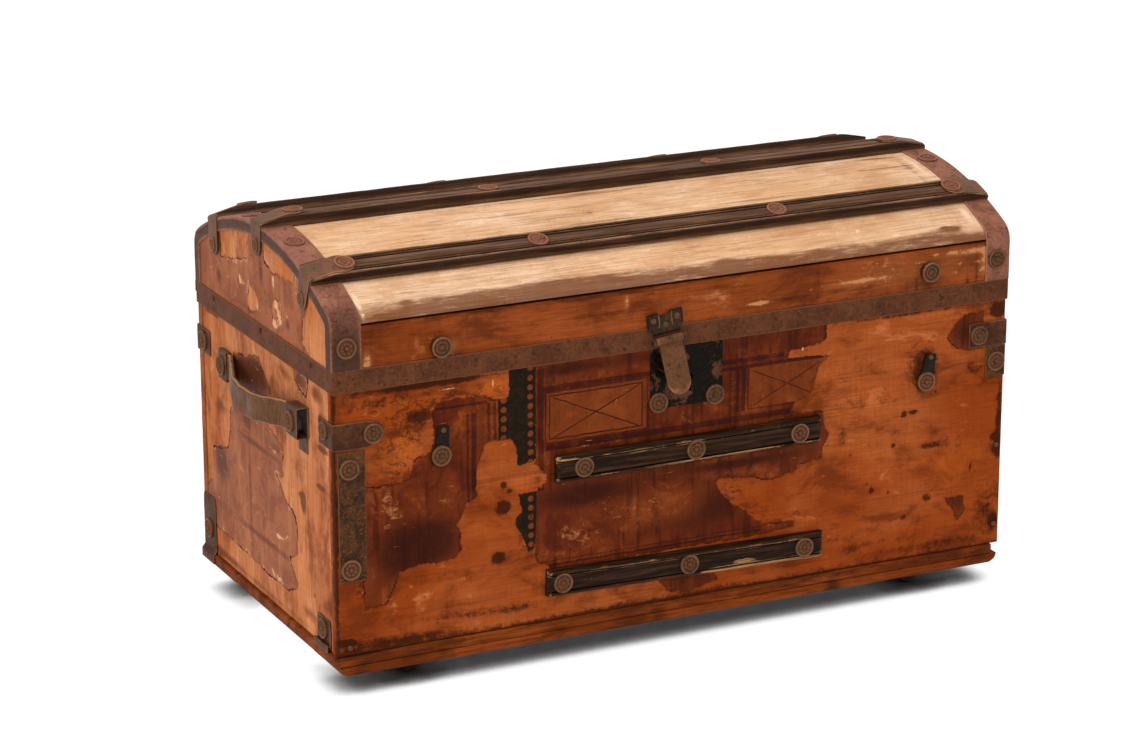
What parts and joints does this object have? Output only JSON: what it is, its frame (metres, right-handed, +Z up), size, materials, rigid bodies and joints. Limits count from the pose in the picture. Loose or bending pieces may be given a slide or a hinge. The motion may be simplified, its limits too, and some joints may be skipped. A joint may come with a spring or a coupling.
{
  "type": "dome top trunk",
  "caption": "Antique dome top trunk: pine box and staved dome lid with hardwood slats, steel hoops and corner straps, lock plate with hasp, leather end handles and casters.",
  "frame": {"origin": "on the floor under the middle of the trunk's whole footprint, hasp and hinges included", "axes": "+Z up, -Y out of the front with the lock, +X to the right along the front"},
  "size_m": [0.763, 0.3752, 0.4219],
  "materials": {
    "pine_panel": "aged printed-paper remnants over orange pine",
    "end_pine": "bare pine with torn purple-brown paper",
    "runner_pine": "worn orange pine",
    "stave_pine": "pale weathered pine",
    "dark_slat": "dark brown hardwood, worn edges",
    "black_bar": "black paint worn to the wood at the edges",
    "rusty_steel": "brown rust, pitted",
    "hoop_steel": "red-brown rust",
    "disc_steel": "embossed, grey-brown patina",
    "black_steel": "black japanning worn off",
    "hinge_steel": "brown rust",
    "old_leather": "dry brown leather, pale cut edges",
    "caster_iron": "dull dark iron"
  },
  "bodies": {
    "root": {"front_panel": "pine_panel", "back_panel": "pine_panel", "left_end_panel": "end_pine", "right_end_panel": "end_pine", "bottom_boards": "runner_pine", "front_runner": "runner_pine", "back_runner": "runner_pine", "upper_front_bar": "black_bar", "lower_front_bar": "black_bar", "body_catch_tabs": "black_steel", "lock_plate": "black_steel", "lock_case": "rusty_steel", "front_left_strap": "rusty_steel", "front_right_strap": "rusty_steel", "back_left_strap": "rusty_steel", "back_right_strap": "rusty_steel", "left_corner_plate": "rusty_steel", "right_corner_plate": "rusty_steel", "bottom_corner_straps": "rusty_steel", "left_strap_ends": "old_leather", "left_handle_loops": "rusty_steel", "right_strap_ends": "old_leather", "right_handle_loops": "rusty_steel", "caster_frames": "caster_iron", "caster_axles": "caster_iron", "hinge_body_leaves": "hinge_steel", "hinge_pins": "hinge_steel", "body_discs": "disc_steel", "body_nails": "disc_steel"},
    "lid": {"lid_front_rail": "pine_panel", "lid_back_rail": "pine_panel", "lid_left_end": "end_pine", "lid_right_end": "end_pine", "front_stave": "stave_pine", "front_middle_stave": "stave_pine", "back_middle_stave": "stave_pine", "back_stave": "stave_pine", "front_slat": "dark_slat", "middle_slat": "dark_slat", "back_slat": "dark_slat", "left_hoop": "hoop_steel", "right_hoop": "hoop_steel", "slat_clamps": "rusty_steel", "lid_band": "rusty_steel", "lid_discs": "disc_steel", "lid_nails": "disc_steel", "catch_knobs": "disc_steel", "hinge_lid_leaves": "hinge_steel", "hasp_plate": "rusty_steel", "hasp_pin": "rusty_steel"},
    "hasp": {"hasp_tongue": "rusty_steel"},
    "lock_bolt": {"lock_bolt": "rusty_steel"},
    "left_handle": {"left_handle_strap": "old_leather"},
    "right_handle": {"right_handle_strap": "old_leather"},
    "front_left_caster_wheel": {"front_left_caster_wheel": "caster_iron"},
    "back_left_caster_wheel": {"back_left_caster_wheel": "caster_iron"},
    "front_right_caster_wheel": {"front_right_caster_wheel": "caster_iron"},
    "back_right_caster_wheel": {"back_right_caster_wheel": "caster_iron"}
  },
  "joints": [
    {"name": "lid_hinge", "type": "hinge", "parent": "root", "child": "lid", "pos_m": [0, 0.1836, 0.298], "axis": [-1, 0, 0], "range_deg": [0, 100]},
    {"name": "hasp_swing", "type": "hinge", "parent": "lid", "child": "hasp", "pos_m": [-0.0195, -0.1709, 0.3015], "axis": [-0.9936, 0, -0.1132], "range_deg": [-20, 140]},
    {"name": "lock_bolt_slide", "type": "slide", "parent": "root", "child": "lock_bolt", "axis": [-1, 0, 0], "range_m": [0, 0.008]},
    {"name": "left_handle_swing", "type": "hinge", "parent": "root", "child": "left_handle", "pos_m": [-0.3665, -0.0009, 0.249], "axis": [0, 1, 0], "range_deg": [-20, 35], "stiffness_Nm_per_rad": 0.15},
    {"name": "right_handle_swing", "type": "hinge", "parent": "root", "child": "right_handle", "pos_m": [0.3665, -0.0009, 0.249], "axis": [0, -1, 0], "range_deg": [-20, 35], "stiffness_Nm_per_rad": 0.15},
    {"name": "front_left_wheel_roll", "type": "hinge", "parent": "root", "child": "front_left_caster_wheel", "pos_m": [-0.271, -0.1259, 0.009], "axis": [0, 1, 0], "continuous": true},
    {"name": "back_left_wheel_roll", "type": "hinge", "parent": "root", "child": "back_left_caster_wheel", "pos_m": [-0.271, 0.1411, 0.009], "axis": [0, 1, 0], "continuous": true},
    {"name": "front_right_wheel_roll", "type": "hinge", "parent": "root", "child": "front_right_caster_wheel", "pos_m": [0.271, -0.1259, 0.009], "axis": [0, 1, 0], "continuous": true},
    {"name": "back_right_wheel_roll", "type": "hinge", "parent": "root", "child": "back_right_caster_wheel", "pos_m": [0.271, 0.1411, 0.009], "axis": [0, 1, 0], "continuous": true}
  ]
}
